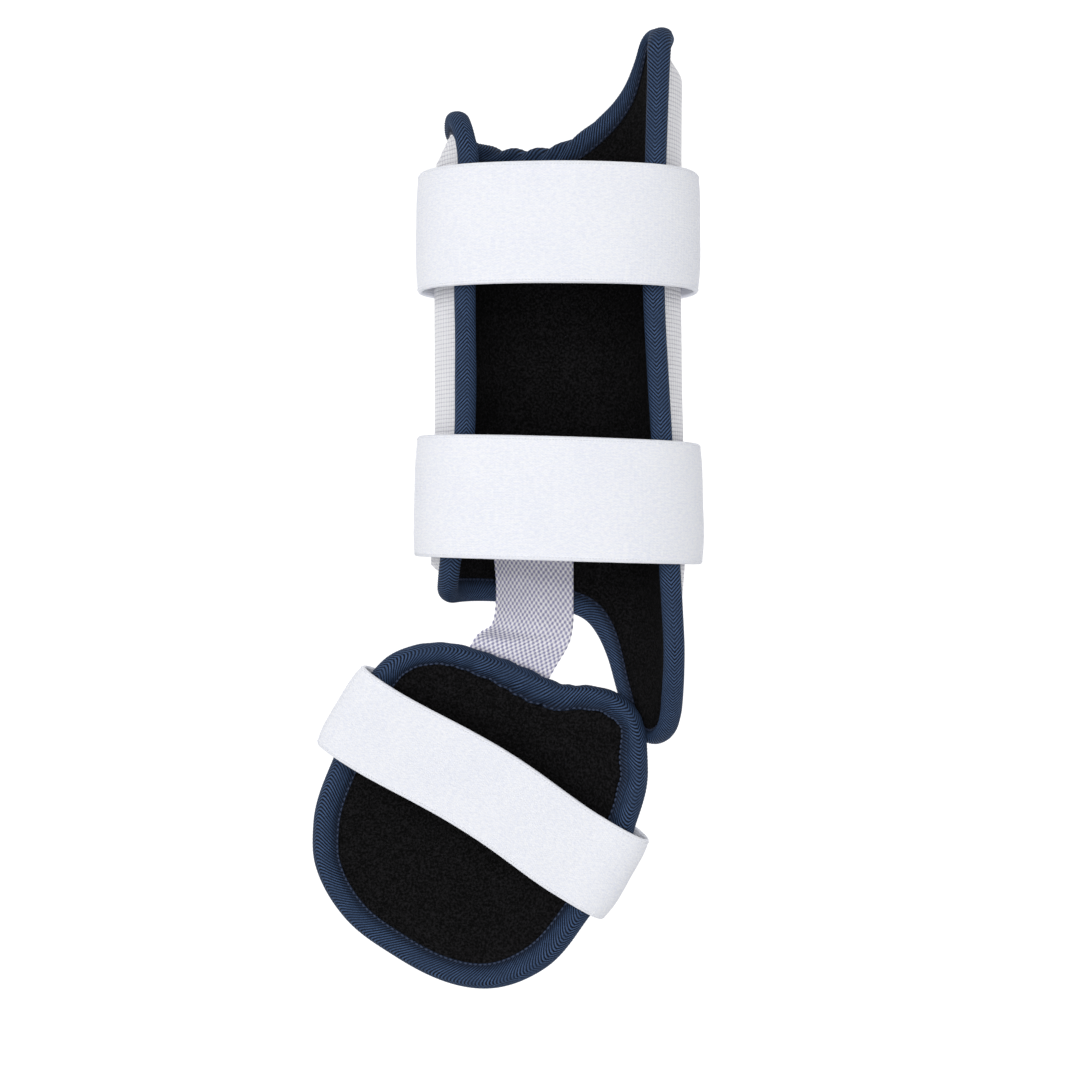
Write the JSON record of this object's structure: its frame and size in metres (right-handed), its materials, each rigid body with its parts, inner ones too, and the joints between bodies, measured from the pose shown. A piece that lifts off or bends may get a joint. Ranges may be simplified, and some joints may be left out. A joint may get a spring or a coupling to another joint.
{
  "type": "batter's leg and foot guard",
  "caption": "Padded shin wall, open at the back, with elastic straps, joined by a webbing link to a padded instep shield with its own strap; guards a batter's shin and foot.",
  "frame": {"origin": "on the surface that the guard lies on, below the middle of its bounding box", "axes": "+Y up the shin, +X to the leg's inner side, +Z from the surface towards the leg side"},
  "size_m": [0.1724, 0.4194, 0.088],
  "materials": {
    "cover_fabric": "white grid knit over padding",
    "lining_fabric": "black short pile",
    "binding_tape": "navy herringbone tape",
    "strap_elastic": "white woven elastic",
    "link_webbing": "white basket-weave webbing"
  },
  "bodies": {
    "root": {"shin_cover": "cover_fabric", "shin_lining": "lining_fabric", "shin_binding": "binding_tape", "upper_strap": "strap_elastic", "lower_strap": "strap_elastic", "foot_cover": "cover_fabric", "foot_lining": "lining_fabric", "foot_binding": "binding_tape", "foot_strap": "strap_elastic", "link_webbing": "link_webbing"}
  },
  "joints": []
}
